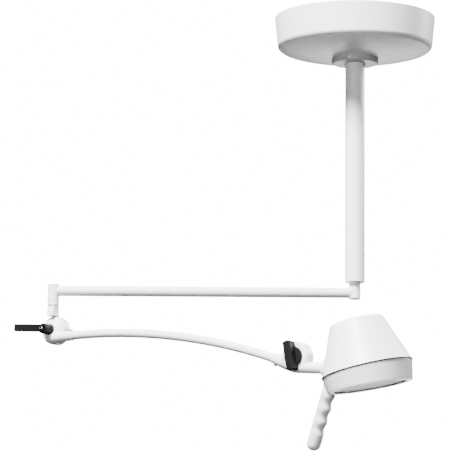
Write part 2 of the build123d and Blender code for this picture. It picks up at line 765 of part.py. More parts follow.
with BuildPart() as head_end_knuckle:
    with BuildSketch(head_leg_plane):
        outline(
            (-head_leg_l, 0),
            (-head_leg_l, head_leg_end_r),
            (-head_leg_root, head_leg_root_r),
            (-12, head_leg_root_r),
            (-12, 0),
        )
    revolve(axis=head_leg_axis)
    with BuildSketch(head_arm_plane.offset(-body_gap)):
        Circle(head_hub_r + 0.8)
    extrude(amount=head_half_t + 10, mode=Mode.SUBTRACT)
    with BuildSketch(head_arm_plane.offset(-body_gap)):
        Circle(head_rear_r)
        outline((-46, -10), (-12, 24), (12, -24), (-10, -37), (-46, -34))
    extrude(amount=-head_rear_t)
    with BuildSketch(Plane(origin=head_leg_plane.origin, z_dir=-head_arm_plane.x_dir).offset(38)):
        Circle(socket_r)
    extrude(amount=head_leg_l, mode=Mode.SUBTRACT)
    with BuildSketch(head_arm_plane):
        Circle(head_axle_r + fixed_gap)
    extrude(amount=-head_rear_t - 1, mode=Mode.SUBTRACT)
    with BuildSketch(head_arm_plane.offset(-body_gap - head_rear_t)):
        RegularPolygon(8.9, 6)
    extrude(amount=5.5, mode=Mode.SUBTRACT)
    with BuildSketch(head_arm_plane.offset(-body_gap - recess_t)):
        Circle(24.3)
    extrude(amount=recess_t, mode=Mode.SUBTRACT)
    lower_screw_seat = head_leg_plane.from_local_coords(Vector(lower_screw_x, 0, 0))
    with BuildSketch(Plane(origin=lower_screw_seat, z_dir=-head_arm_plane.y_dir)):
        Circle(2.5 + fixed_gap)
    extrude(amount=head_leg_root_r + 4, mode=Mode.SUBTRACT)
head_end_knuckle.part.label = "head_end_knuckle"
export_step(head_end_knuckle.part, "parts/head_end_knuckle.step")

upper_seat = Plane(origin=leg_profile.from_local_coords(Vector(screw_x, 0, 0)), z_dir=upright)
lower_seat = Plane(origin=lower_screw_seat, z_dir=-head_arm_plane.y_dir)
arm_screw_seats = [upper_seat.offset(lift_leg_end_r + 0.5), lower_seat.offset(head_leg_end_r + 2.1)]
socket_screws("arm_socket_screws", arm_screw_seats, 2.5, 2.1, 4.6, 3.4)

stop_seat = Plane(origin=leg_profile.from_local_coords(Vector(30, 0, 0)), z_dir=-upright)
socket_screws("lift_stop_screw", [stop_seat.offset(lift_leg_root_r - 0.7)], 2.0, 12.0, 3.4, 1.3)

with BuildPart() as tilt_axle_bolt:
    with BuildSketch(head_arm_plane.offset(-body_gap - head_rear_t + 0.4)):
        RegularPolygon(8.5, 6)
    extrude(amount=4.8)
    with BuildSketch(head_arm_plane.offset(-body_gap - head_rear_t + 2)):
        Circle(head_axle_r)
    extrude(amount=head_rear_t - 2 + 46)
tilt_axle_bolt.part.label = "tilt_axle_bolt"
export_step(tilt_axle_bolt.part, "parts/tilt_axle_bolt.step")

with BuildPart() as tilt_friction_disc:
    with BuildSketch(head_arm_plane.offset(-body_gap - recess_t)):
        Circle(24.0)
        Circle(head_axle_r + 0.6, mode=Mode.SUBTRACT)
    extrude(amount=friction_t)
tilt_friction_disc.part.label = "tilt_friction_disc"
export_step(tilt_friction_disc.part, "parts/tilt_friction_disc.step")

# ---------------------------------------------------------------- tension lever
lever_r = 13.5
lever_front = 51.0
lever_bar_w = 19.0
lever_bar_t = 6.0
lever_bar_l = 89.0
lever_tilt = 175.0
lever_plane = turned(lift_plane, lever_tilt)

with BuildPart() as tension_lever_boss:
    with BuildSketch(lift_plane.offset(lever_seat)):
        Circle(lever_r)
    extrude(amount=lever_front - lever_seat)
    chamfer(tension_lever_boss.edges().filter_by(GeomType.CIRCLE), length=1.6)
    with BuildSketch(lift_plane.offset(lever_seat)):
        Circle(axle_r + 0.05)
    extrude(amount=23.0, mode=Mode.SUBTRACT)
    with BuildSketch(lift_plane.offset(lever_front)):
        Circle(2.5 + fixed_gap)
    extrude(amount=-7.5, mode=Mode.SUBTRACT)
tension_lever_boss.part.label = "tension_lever_boss"
export_step(tension_lever_boss.part, "parts/tension_lever_boss.step")

with BuildPart() as tension_lever_bar:
    with BuildSketch(lever_plane.offset(lever_front)):
        with BuildLine():
            Polyline(
                (-6, -lever_bar_w / 2),
                (30, -lever_bar_w / 2),
                (40, -lever_bar_w / 2 - 0.5),
                (lever_bar_l, -lever_bar_w / 2 - 0.5),
                (lever_bar_l, lever_bar_w / 2 - 0.5),
                (40, lever_bar_w / 2 - 0.5),
                (30, lever_bar_w / 2),
                (-6, lever_bar_w / 2),
                close=True,
            )
        make_face()
        fillet(vertices(), radius=2.4)
    extrude(amount=lever_bar_t)
    chamfer(tension_lever_bar.edges().group_by(Axis(lift_plane.origin, front))[-1], length=0.8)
    with BuildSketch(lever_plane.offset(lever_front)):
        Circle(2.5 + fixed_gap)
    extrude(amount=lever_bar_t, mode=Mode.SUBTRACT)
tension_lever_bar.part.label = "tension_lever_bar"
export_step(tension_lever_bar.part, "parts/tension_lever_bar.step")

socket_screws("tension_lever_screw", [lift_plane.offset(lever_front + lever_bar_t)], 2.5, 12.0, 5.4, 3.6)

# ---------------------------------------------------------------- head knuckle, lamp side
pivot_in = 27.0
stub_leg_plane = shifted(stub_plane, 0, -stub_drop, stub_mid)
stub_axis = Axis(stub_leg_plane.origin, stub_axis_dir)
roll_plane = Plane(origin=stub_leg_plane.origin, x_dir=stub_plane.y_dir, z_dir=stub_axis_dir)

with BuildPart() as tilt_hub:
    with BuildSketch(profile_plane(stub_plane)):
        outline(
            (0, body_gap),
            (head_hub_r, body_gap),
            (head_hub_r, head_half_t),
            (0, head_half_t),
        )
    revolve(axis=axis_of(stub_plane))
    rim = tilt_hub.edges().filter_by(GeomType.CIRCLE).filter_by(
        lambda edge: stub_plane.to_local_coords(edge.center()).Z > head_half_t / 2
    )
    fillet(rim, radius=6.0)
    with BuildSketch(profile_plane(stub_plane)):
        ring(head_hub_r - seam_deep, head_hub_r + 1, 2.2, 2.2 + seam_w)
    revolve(axis=axis_of(stub_plane), mode=Mode.SUBTRACT)
    with BuildSketch(stub_leg_plane):
        outline((0, 0), (0, stub_root_r), (stub_l, stub_end_r), (stub_l, 0))
    revolve(axis=stub_axis)
    with BuildSketch(stub_plane.offset(head_half_t)):
        Circle(head_hub_r)
    extrude(amount=4.0, mode=Mode.SUBTRACT)
    with BuildSketch(stub_plane.offset(body_gap)):
        Circle(head_hub_r + 1)
    extrude(amount=-4.0, mode=Mode.SUBTRACT)
    with BuildSketch(stub_plane):
        Circle(head_axle_r + 0.4)
    extrude(amount=head_half_t + 1, mode=Mode.SUBTRACT)
    with BuildSketch(roll_plane.offset(pivot_in)):
        Circle(pivot_r + 0.02)
    extrude(amount=stub_l, mode=Mode.SUBTRACT)
tilt_hub.part.label = "tilt_hub"
export_step(tilt_hub.part, "parts/tilt_hub.step")

pivot_end = head_distance - 80.0
nut_low = head_distance - 84.5

with BuildPart() as roll_pivot_tube:
    with BuildSketch(roll_plane.offset(pivot_in)):
        Circle(pivot_r)
        Circle(pivot_r - 2.5, mode=Mode.SUBTRACT)
    extrude(amount=pivot_end + 12 - pivot_in)
roll_pivot_tube.part.label = "roll_pivot_tube"
export_step(roll_pivot_tube.part, "parts/roll_pivot_tube.step")

with BuildPart() as roll_pivot_nut:
    with BuildSketch(roll_plane.offset(nut_low + 2)):
        RegularPolygon(13.0, 6)
        Circle(pivot_r + 0.05, mode=Mode.SUBTRACT)
    extrude(amount=8.0)
    with BuildSketch(roll_plane.offset(nut_low + 0.6)):
        Circle(13.5)
        Circle(pivot_r + 0.1, mode=Mode.SUBTRACT)
    extrude(amount=1.4)
roll_pivot_nut.part.label = "roll_pivot_nut"
export_step(roll_pivot_nut.part, "parts/roll_pivot_nut.step")

# ---------------------------------------------------------------- wing knob
knob_disc_r = 25.0
knob_disc_t = 7.0
knob_low = head_half_t + 0.4
wing_h = 20.5
wing_l = 75.0
wing_w = 21.0
wing_corner_r = 6.0
wing_edge_r = 3.2
wing_angle = 100.0
knob_plane = turned(stub_plane, wing_angle - stub_angle)

with BuildPart() as wing_knob:
    with BuildSketch(knob_plane.offset(knob_low)):
        Circle(knob_disc_r)
    extrude(amount=knob_disc_t)
    fillet(wing_knob.edges().filter_by(GeomType.CIRCLE).sort_by(Axis(head_hub, front))[-1], radius=2.5)
    with BuildSketch(knob_plane.offset(knob_low + knob_disc_t / 2)):
        RectangleRounded(wing_l, wing_w, wing_corner_r)
    extrude(amount=wing_h + knob_disc_t / 2)
    wing_top = wing_knob.faces().sort_by(Axis(head_hub, front))[-1]
    fillet(wing_top.edges(), radius=wing_edge_r)
    with BuildSketch(knob_plane.offset(knob_low)):
        RegularPolygon(8.6, 6)
    extrude(amount=20.0, mode=Mode.SUBTRACT)
wing_knob.part.label = "wing_knob"
export_step(wing_knob.part, "parts/wing_knob.step")

with BuildPart() as wing_knob_insert:
    with BuildSketch(knob_plane.offset(knob_low + 0.2)):
        RegularPolygon(8.5, 6)
        Circle(head_axle_r + 0.05, mode=Mode.SUBTRACT)
    extrude(amount=18.0)
wing_knob_insert.part.label = "wing_knob_insert"
export_step(wing_knob_insert.part, "parts/wing_knob_insert.step")

# ---------------------------------------------------------------- lamp housing
cone_slope = (rim_r - cone_top_r) / cone_top_z
boss_centre = stub_plane.from_local_coords(Vector(head_distance, -stub_drop, stub_mid))
boss_plane = Plane(origin=boss_centre, x_dir=stub_plane.y_dir, z_dir=-stub_axis_dir)
boss_root = 85.0
boss_sleeve_in = 86.0
boss_sleeve_r = 15.5
boss_bore_r = 11.2
switch_z = 52.0
switch_hole_r = 9.0
cone_angle = degrees(atan2(rim_r - cone_top_r, cone_top_z))
switch_r = rim_r - cone_slope * switch_z
switch_out = lamp_plane.y_dir * cos(radians(cone_angle)) + lamp_up * sin(radians(cone_angle))
switch_plane = Plane(
    origin=lamp_plane.from_local_coords(Vector(0, switch_r, switch_z)), x_dir=lamp_out, z_dir=switch_out
)

with BuildPart() as rear_housing:
    with BuildSketch(profile_plane(lamp_plane)):
        with BuildLine():
            Polyline((0, seam_half), (rim_r, seam_half), (cone_top_r, cone_top_z))
            ThreePointArc(
                (cone_top_r, cone_top_z),
                (cone_top_r / 2, cone_top_z + cone_dome * 0.75),
                (0, cone_top_z + cone_dome),
            )
            Line((0, cone_top_z + cone_dome), (0, seam_half))
        make_face()
    revolve(axis=axis_of(lamp_plane))
    shoulder = rear_housing.edges().filter_by(GeomType.CIRCLE).filter_by(
        lambda edge: abs(edge.radius - cone_top_r) < 0.01
    )
    fillet(shoulder, radius=cone_edge_r)
    with BuildSketch(boss_plane.offset(boss_end)):
        Circle(boss_r)
    extrude(amount=boss_root - boss_end)
    with BuildSketch(profile_plane(lamp_plane)):
        inner_top_z = cone_top_z - 4.0
        outline(
            (0, seam_half),
            (rim_r - housing_wall, seam_half),
            (rim_r - housing_wall - cone_slope * (inner_top_z - 14), inner_top_z - 14),
            (cone_top_r - 13, inner_top_z),
            (0, inner_top_z + cone_dome),
        )
    revolve(axis=axis_of(lamp_plane), mode=Mode.SUBTRACT)
    with BuildSketch(boss_plane.offset(boss_sleeve_in)):
        Circle(boss_sleeve_r)
    extrude(amount=boss_end - boss_sleeve_in - 4)
    with BuildSketch(boss_plane.offset(boss_sleeve_in)):
        Circle(boss_bore_r)
    extrude(amount=boss_end, mode=Mode.SUBTRACT)
    with BuildSketch(switch_plane.offset(2)):
        Circle(switch_hole_r + fixed_gap)
    extrude(amount=-12.0, mode=Mode.SUBTRACT)
rear_housing.part.label = "rear_housing"
export_step(rear_housing.part, "parts/rear_housing.step")

with BuildPart() as roll_bushes:
    with BuildSketch(profile_plane(boss_plane)):
        ring(pivot_r + running_gap, boss_bore_r - 0.02, boss_end - 14, boss_end)
        ring(pivot_r + running_gap, boss_bore_r - 0.02, boss_sleeve_in, boss_sleeve_in + 12)
    revolve(axis=axis_of(boss_plane))
roll_bushes.part.label = "roll_bushes"
export_step(roll_bushes.part, "parts/roll_bushes.step")

with BuildPart() as trim_ring:
    with BuildSketch(profile_plane(lamp_plane)):
        ring(rim_r - housing_wall, trim_r, -seam_half, seam_half)
    revolve(axis=axis_of(lamp_plane))
    fillet(trim_ring.edges().filter_by(GeomType.CIRCLE).sort_by(SortBy.RADIUS)[-2:], radius=0.5)
trim_ring.part.label = "trim_ring"
export_step(trim_ring.part, "parts/trim_ring.step")

handle_seats = []
for height in (-7.0, -18.0):
    wall_r = rim_r - side_slope * (-seam_half - height) - bezel_wall - 0.8
    inside = lamp_plane.from_local_coords(Vector(-wall_r, 0, height))
    handle_seats.append(Plane(origin=inside, z_dir=lamp_out))
socket_screws("handle_screws", handle_seats, 2.0, 14.5, 3.8, 2.6)

with BuildPart() as front_bezel:
    with BuildSketch(lamp_plane.offset(-seam_half)):
        Circle(rim_r)
    with BuildSketch(face_plane):
        Circle(face_r)
    loft()
    fillet(front_bezel.faces().sort_by(axis_of(lamp_plane))[0].edges(), radius=2.0)
    with BuildSketch(lamp_plane.offset(-seam_half)):
        Circle(rim_r - bezel_wall)
    with BuildSketch(face_plane.offset(2.6)):
        Circle(face_r - bezel_wall)
    loft(mode=Mode.SUBTRACT)
    with BuildSketch(face_plane):
        Circle(window_r)
    extrude(amount=3.0, mode=Mode.SUBTRACT)
    with BuildSketch(*handle_seats):
        Circle(2.0 + fixed_gap)
    extrude(amount=-8.0, mode=Mode.SUBTRACT)
    bezel_spots = polar_spots(97.3, 3, -88)
    with BuildSketch(face_plane):
        with Locations(*bezel_spots):
            Circle(1.5 + fixed_gap)
    extrude(amount=3.0, mode=Mode.SUBTRACT)
    with BuildSketch(face_plane):
        with Locations(*bezel_spots):
            Circle(3.1)
    extrude(amount=1.4, mode=Mode.SUBTRACT)
front_bezel.part.label = "front_bezel"
export_step(front_bezel.part, "parts/front_bezel.step")

lens_low = 3.8
lens_t = 3.0
retainer_low = lens_low + lens_t + 0.1

with BuildPart() as lens_gasket:
    with BuildSketch(profile_plane(face_plane)):
        ring(window_r, lens_r, 2.7, lens_low)
    revolve(axis=axis_of(face_plane))
lens_gasket.part.label = "lens_gasket"
export_step(lens_gasket.part, "parts/lens_gasket.step")

with BuildPart() as lens:
    with BuildSketch(face_plane.offset(lens_low)):
        Circle(lens_r)
    extrude(amount=lens_t)
    fillet(lens.edges().filter_by(GeomType.CIRCLE), radius=0.6)
lens.part.label = "lens"
export_step(lens.part, "parts/lens.step")

with BuildPart() as lens_retainer:
    with BuildSketch(profile_plane(face_plane)):
        ring(89.0, 100.0, retainer_low, retainer_low + 3.0)
    revolve(axis=axis_of(face_plane))
    with BuildSketch(face_plane.offset(2.7)):
        with Locations(*bezel_spots):
            Circle(3.0)
    extrude(amount=retainer_low - 2.7)
    with BuildSketch(face_plane):
        with Locations(*bezel_spots):
            Circle(1.5 + fixed_gap)
    extrude(amount=14.0, mode=Mode.SUBTRACT)
lens_retainer.part.label = "lens_retainer"
export_step(lens_retainer.part, "parts/lens_retainer.step")

bezel_seats = []
for x, y in bezel_spots:
    seat_point = face_plane.from_local_coords(Vector(x, y, 1.4))
    bezel_seats.append(Plane(origin=seat_point, z_dir=-face_plane.z_dir))
socket_screws("bezel_screws", bezel_seats, 1.5, 8.0, 2.8, 1.3)

# ---------------------------------------------------------------- light engine
cup_count = 6
cup_pitch_r = 58.0
cup_mouth_r = 24.0
cup_throat_r = 6.5
reflector_low = retainer_low + 3.2
reflector_t = 17.0
board_low = reflector_low + reflector_t
board_t = 2.0
sink_low = board_low + board_t
sink_base_t = 5.0
fin_h = 9.0
fin_t = 2.2
fin_gap = 8.0
sink_r = 86.0
cup_spots = [(0, 0)] + polar_spots(cup_pitch_r, cup_count, 30)

with BuildPart() as reflector:
    with BuildSketch(face_plane.offset(reflector_low)):
        Circle(91.5)
    extrude(amount=reflector_t)
    for spot in cup_spots:
        with BuildSketch(face_plane.offset(reflector_low)):
            with Locations(spot):
                Circle(cup_mouth_r)
        with BuildSketch(face_plane.offset(reflector_low + 8)):
            with Locations(spot):
                Circle((cup_mouth_r + cup_throat_r) / 2 + 3)
        with BuildSketch(face_plane.offset(board_low)):
            with Locations(spot):
                Circle(cup_throat_r)
        loft(mode=Mode.SUBTRACT)
reflector.part.label = "reflector"
export_step(reflector.part, "parts/reflector.step")

with BuildPart() as led_emitters:
    with BuildSketch(face_plane.offset(board_low)):
        with Locations(*cup_spots):
            RectangleRounded(7.0, 7.0, 0.8)
    extrude(amount=-0.8)
    with BuildSketch(face_plane.offset(board_low - 0.8)):
        with Locations(*cup_spots):
            Circle(3.0)
    extrude(amount=-1.6, taper=18)
led_emitters.part.label = "led_emitters"
export_step(led_emitters.part, "parts/led_emitters.step")

with BuildPart() as led_board:
    with BuildSketch(face_plane.offset(board_low)):
        Circle(90.0)
        with Locations((0, 82), (0, -82)):
            Circle(2.0, mode=Mode.SUBTRACT)
    extrude(amount=board_t)
led_board.part.label = "led_board"
export_step(led_board.part, "parts/led_board.step")

with BuildPart() as heat_sink:
    with BuildSketch(face_plane.offset(sink_low)):
        Circle(90.0)
    extrude(amount=sink_base_t)
    fin_count = int(2 * sink_r / fin_gap) - 1
    for index in range(fin_count):
        y = (index - (fin_count - 1) / 2) * fin_gap
        half = sqrt(sink_r**2 - y**2)
        with BuildSketch(face_plane.offset(sink_low + sink_base_t)):
            with Locations((0, y)):
                Rectangle(2 * half, fin_t)
        extrude(amount=fin_h)
heat_sink.part.label = "heat_sink"
export_step(heat_sink.part, "parts/heat_sink.step")

driver_low = sink_low + sink_base_t + fin_h
with BuildPart() as led_driver:
    with BuildSketch(face_plane.offset(driver_low)):
        RectangleRounded(84, 56, 4)
    extrude(amount=3.0)
    with BuildSketch(face_plane.offset(driver_low + 3)):
        with Locations((-22, 10), (-22, -12)):
            Circle(7.0)
        with Locations((8, 0)):
            RectangleRounded(22, 30, 2)
        with Locations((31, 0)):
            RectangleRounded(10, 34, 1)
    extrude(amount=14.0)
led_driver.part.label = "led_driver"
export_step(led_driver.part, "parts/led_driver.step")

# ---------------------------------------------------------------- handle
grip_r = 17.5
grip_root_r = 13.5
grip_taper_run = 26.0
grip_bend_r = 70.0
groove_pitch = 34.0
groove_deep = 3.8
groove_count = 3
groove_end = 24.0             # from the last groove to the middle of the rounded tip
handle_side = profile_plane(lamp_plane)


def groove_depth(distance, total):
    """Depth of the finger grooves on the inner side, evenly spaced."""
    start = total - groove_count * groove_pitch - groove_end
    if distance < start or distance > total - groove_end:
        return 0.0
    return groove_deep * (1 - cos(2 * pi * (distance - start) / groove_pitch)) / 2


with BuildPart() as handle:
    with BuildLine(handle_side) as grip_path:
        FilletPolyline((-117, -3), (-121, -21), (-200, -134), radius=grip_bend_r)
    grip_line = grip_path.wires()[0]
    total = grip_line.length
    stations = 48
    for index in range(stations):
        distance = total * index / (stations - 1)
        groove = groove_depth(distance, total)
        radius = grip_root_r + (grip_r - grip_root_r) * min(distance / grip_taper_run, 1.0) - groove / 2
        point = grip_line.position_at(distance / total)
        heading = grip_line.tangent_at(distance / total)
        section = Plane(origin=point, x_dir=lamp_plane.y_dir, z_dir=heading)
        with BuildSketch(section):
            with Locations((0, -groove / 2)):
                Circle(radius)
    for turn in (15, 30, 45, 60, 72, 82):
        tip = grip_line @ 1 + (grip_line % 1) * grip_r * sin(radians(turn))
        with BuildSketch(Plane(origin=tip, x_dir=lamp_plane.y_dir, z_dir=grip_line % 1)):
            Circle(grip_r * cos(radians(turn)))
    loft()
    with BuildSketch(lamp_plane.offset(-seam_half)):
        Circle(trim_r)
    with BuildSketch(face_plane.offset(-0.8)):
        Circle(face_r + 0.8)
    loft(mode=Mode.SUBTRACT)
    with BuildSketch(profile_plane(lamp_plane)):
        outline(
            (0, -seam_half - 0.4),
            (trim_r + 0.4, -seam_half - 0.4),
            (trim_r + 0.4, seam_half + 0.4),
            (trim_r + 0.4 - cone_slope * 40, 40),
            (0, 40),
        )
    revolve(axis=axis_of(lamp_plane), mode=Mode.SUBTRACT)
    with BuildSketch(*handle_seats):
        Circle(2.0)
    extrude(amount=-15.5, mode=Mode.SUBTRACT)
handle.part.label = "handle"
export_step(handle.part, "parts/handle.step")

# ---------------------------------------------------------------- switch
button_r = 6.0
with BuildPart() as switch_body:
    with BuildSketch(switch_plane.offset(0.6)):
        Circle(11.5)
    extrude(amount=1.8)
    with BuildSketch(switch_plane.offset(0.6)):
        Circle(switch_hole_r)
    extrude(amount=-22.0)
    with BuildSketch(switch_plane.offset(2.4)):
        Circle(button_r + 0.4)
    extrude(amount=-9.0, mode=Mode.SUBTRACT)
switch_body.part.label = "switch_body"
export_step(switch_body.part, "parts/switch_body.step")

with BuildPart() as power_button:
    with BuildSketch(switch_plane.offset(-3.4)):
        Circle(button_r)
    extrude(amount=9.0)
    button_rims = power_button.edges().filter_by(GeomType.CIRCLE)
    fillet(button_rims.sort_by(Axis(switch_plane.origin, switch_out))[-1], radius=1.2)
power_button.part.label = "power_button"
export_step(power_button.part, "parts/power_button.step")
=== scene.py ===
import json
from math import cos, radians, sin, sqrt, tau

import bmesh
import bpy
from mathutils import Matrix, Vector


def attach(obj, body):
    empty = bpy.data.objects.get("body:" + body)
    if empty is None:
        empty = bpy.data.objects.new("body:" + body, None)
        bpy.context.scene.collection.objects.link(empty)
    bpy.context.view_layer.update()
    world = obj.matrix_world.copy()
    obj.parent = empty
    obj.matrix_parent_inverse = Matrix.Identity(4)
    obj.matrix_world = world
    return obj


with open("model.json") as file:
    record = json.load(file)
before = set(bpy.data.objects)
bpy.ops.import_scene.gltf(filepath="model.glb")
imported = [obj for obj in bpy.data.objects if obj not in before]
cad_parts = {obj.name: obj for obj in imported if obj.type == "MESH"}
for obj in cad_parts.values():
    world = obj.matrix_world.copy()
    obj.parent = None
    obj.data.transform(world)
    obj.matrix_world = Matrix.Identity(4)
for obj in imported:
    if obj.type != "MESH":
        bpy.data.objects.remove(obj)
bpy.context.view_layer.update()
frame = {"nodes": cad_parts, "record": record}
nodes = frame["nodes"]

# ------------------------------------------------------------------ camera
IMAGE = 452
FOCAL_PX = 3644.0
PITCH = radians(10.0)
ROLL = radians(0.4)
CAMERA_AT = Vector((-0.3324, -9.257, -2.1838))

# weld beads of the upper arm, in metres
ARM_R = 0.0132
ARM_Z = -0.724
ARM_REACH = 0.775
POST_R = 0.0145
BEAD_R = 0.0012
BEAD_RIPPLE = 0.08
BEAD_RIPPLES = 40
BEAD_STEPS = 120
BEAD_SIDES = 10
SMOOTH_ANGLE = radians(60.0)

FLOOR_Z = -2.6
FLOOR_HALF = 12.0


def make_camera():
    forward = Vector((0, cos(PITCH), sin(PITCH)))
    level_up = Vector((0, -sin(PITCH), cos(PITCH)))
    level_right = Vector((1, 0, 0))
    right = level_right * cos(ROLL) + level_up * sin(ROLL)
    up = level_up * cos(ROLL) - level_right * sin(ROLL)
    data = bpy.data.cameras.new("camera")
    data.sensor_width = 36.0
    data.lens = FOCAL_PX / IMAGE * data.sensor_width
    data.clip_start = 0.1
    data.clip_end = 60.0
    camera = bpy.data.objects.new("camera", data)
    turn = Matrix((right, up, -forward)).transposed().to_4x4()
    camera.matrix_world = Matrix.Translation(CAMERA_AT) @ turn
    bpy.context.collection.objects.link(camera)
    bpy.context.scene.camera = camera


# ------------------------------------------------------------------ studio
def make_world(white, low, high):
    """A white surround: what lights the object is dim from below and brighter from above."""
    world = bpy.data.worlds.new("studio")
    bpy.context.scene.world = world
    world.use_nodes = True
    tree = world.node_tree
    soft = tree.nodes["Background"]
    place = tree.nodes.new("ShaderNodeTexCoord")
    split = tree.nodes.new("ShaderNodeSeparateXYZ")
    tree.links.new(place.outputs["Generated"], split.inputs["Vector"])
    span = tree.nodes.new("ShaderNodeMapRange")
    span.inputs["From Min"].default_value = -0.6
    span.inputs["From Max"].default_value = 0.6
    span.inputs["To Min"].default_value = low
    span.inputs["To Max"].default_value = high
    tree.links.new(split.outputs["Z"], span.inputs["Value"])
    tree.links.new(span.outputs["Result"], soft.inputs["Strength"])
    plain = tree.nodes.new("ShaderNodeBackground")
    plain.inputs["Strength"].default_value = white
    path = tree.nodes.new("ShaderNodeLightPath")
    mix = tree.nodes.new("ShaderNodeMixShader")
    tree.links.new(path.outputs["Is Camera Ray"], mix.inputs["Fac"])
    tree.links.new(soft.outputs["Background"], mix.inputs[1])
    tree.links.new(plain.outputs["Background"], mix.inputs[2])
    tree.links.new(mix.outputs["Shader"], tree.nodes["World Output"].inputs["Surface"])


def area_light(name, at, look_at, size, watts):
    data = bpy.data.lights.new(name, "AREA")
    data.shape = "DISK"
    data.size = size
    data.energy = watts
    light = bpy.data.objects.new(name, data)
    light.location = at
    aim = Vector(look_at) - Vector(at)
    light.rotation_euler = aim.to_track_quat("-Z", "Y").to_euler()
    bpy.context.collection.objects.link(light)


def make_floor(height, half):
    """A pale floor, clear when seen from below, that throws no light back at the object."""
    mesh = bpy.data.meshes.new("studio_floor")
    sides = ((-half, -half), (half, -half), (half, half), (-half, half))
    corners = [(x, y, height) for x, y in sides]
    mesh.from_pydata(corners, [], [(0, 1, 2, 3)])
    floor = bpy.data.objects.new("studio_floor", mesh)
    bpy.context.collection.objects.link(floor)
    floor.visible_diffuse = False
    floor.visible_glossy = False
    floor.visible_shadow = False
    material = bpy.data.materials.new("studio_floor")
    material.use_nodes = True
    tree = material.node_tree
    shader = tree.nodes["Principled BSDF"]
    shader.inputs["Base Color"].default_value = (0.8, 0.8, 0.8, 1.0)
    shader.inputs["Roughness"].default_value = 0.8
    clear = tree.nodes.new("ShaderNodeBsdfTransparent")
    face = tree.nodes.new("ShaderNodeNewGeometry")
    mix = tree.nodes.new("ShaderNodeMixShader")
    tree.links.new(face.outputs["Backfacing"], mix.inputs["Fac"])
    tree.links.new(shader.outputs["BSDF"], mix.inputs[1])
    tree.links.new(clear.outputs["BSDF"], mix.inputs[2])
    tree.links.new(mix.outputs["Shader"], tree.nodes["Material Output"].inputs["Surface"])
    mesh.materials.append(material)


# ------------------------------------------------------------------ materials
class Finish:
    """A procedural material: base colour with faint mottling, uneven roughness and a fine bump."""

    def __init__(self, name):
        self.material = bpy.data.materials.new(name)
        self.material.use_nodes = True
        self.tree = self.material.node_tree
        self.shader = self.tree.nodes["Principled BSDF"]
        coords = self.tree.nodes.new("ShaderNodeTexCoord")
        self.place = coords.outputs["Object"]

    def link(self, output, socket):
        self.tree.links.new(output, socket)

    def stretched(self, scale):
        mapping = self.tree.nodes.new("ShaderNodeMapping")
        mapping.inputs["Scale"].default_value = scale
        self.link(self.place, mapping.inputs["Vector"])
        return mapping.outputs["Vector"]

    def noise(self, scale, detail=3.0, roughness=0.5, vector=None):
        node = self.tree.nodes.new("ShaderNodeTexNoise")
        node.inputs["Scale"].default_value = scale
        node.inputs["Detail"].default_value = detail
        node.inputs["Roughness"].default_value = roughness
        self.link(vector or self.place, node.inputs["Vector"])
        return node.outputs["Fac"]

    def ramp(self, source, low, high, at=(0.35, 0.65)):
        node = self.tree.nodes.new("ShaderNodeValToRGB")
        node.color_ramp.elements[0].position = at[0]
        node.color_ramp.elements[0].color = (*low, 1.0)
        node.color_ramp.elements[1].position = at[1]
        node.color_ramp.elements[1].color = (*high, 1.0)
        self.link(source, node.inputs["Fac"])
        return node.outputs["Color"]

    def span(self, source, low, high):
        node = self.tree.nodes.new("ShaderNodeMapRange")
        node.inputs["From Min"].default_value = 0.3
        node.inputs["From Max"].default_value = 0.7
        node.inputs["To Min"].default_value = low
        node.inputs["To Max"].default_value = high
        self.link(source, node.inputs["Value"])
        return node.outputs["Result"]

    def bump(self, source, strength, distance):
        node = self.tree.nodes.new("ShaderNodeBump")
        node.inputs["Strength"].default_value = strength
        node.inputs["Distance"].default_value = distance
        self.link(source, node.inputs["Height"])
        self.link(node.outputs["Normal"], self.shader.inputs["Normal"])

    def set(self, **values):
        for key, value in values.items():
            self.shader.inputs[key.replace("_", " ")].default_value = value


def shade(colour, factor):
    return tuple(min(1.0, channel * factor) for channel in colour)


def coated(
    name,
    colour,
    rough,
    grain=900.0,
    grain_depth=0.00003,
    coat=0.0,
    mottle=0.03,
    metallic=0.0,
    shine=0.5,
):
    """Paint or plastic: faint mottling, soft marks in the gloss and a fine orange-peel bump."""
    finish = Finish(name)
    patches = finish.noise(14.0, 4.0, 0.6)
    finish.link(
        finish.ramp(patches, shade(colour, 1.0 - mottle), shade(colour, 1.0 + mottle * 0.4)),
        finish.shader.inputs["Base Color"],
    )
    smears = finish.noise(55.0, 5.0, 0.65)
    finish.link(finish.span(smears, rough * 0.88, rough * 1.15), finish.shader.inputs["Roughness"])
    finish.bump(finish.noise(grain, 2.0, 0.5), 0.35, grain_depth)
    finish.set(Metallic=metallic, Coat_Weight=coat, Specular_IOR_Level=shine)
    if coat:
        finish.shader.inputs["Coat Roughness"].default_value = 0.12
    return finish.material


def metal(name, colour, rough, stretch=(1.0, 1.0, 1.0), grain=600.0, mottle=0.12):
    """Bare metal: tool marks along one direction and slightly uneven colour."""
    finish = Finish(name)
    lines = finish.stretched(stretch)
    marks = finish.noise(grain, 3.0, 0.6, lines)
    finish.link(
        finish.ramp(marks, shade(colour, 1.0 - mottle), shade(colour, 1.0 + mottle * 0.3)),
        finish.shader.inputs["Base Color"],
    )
    finish.link(finish.span(marks, rough * 0.75, rough * 1.3), finish.shader.inputs["Roughness"])
    finish.bump(marks, 0.3, 0.00002)
    finish.set(Metallic=1.0)
    return finish.material


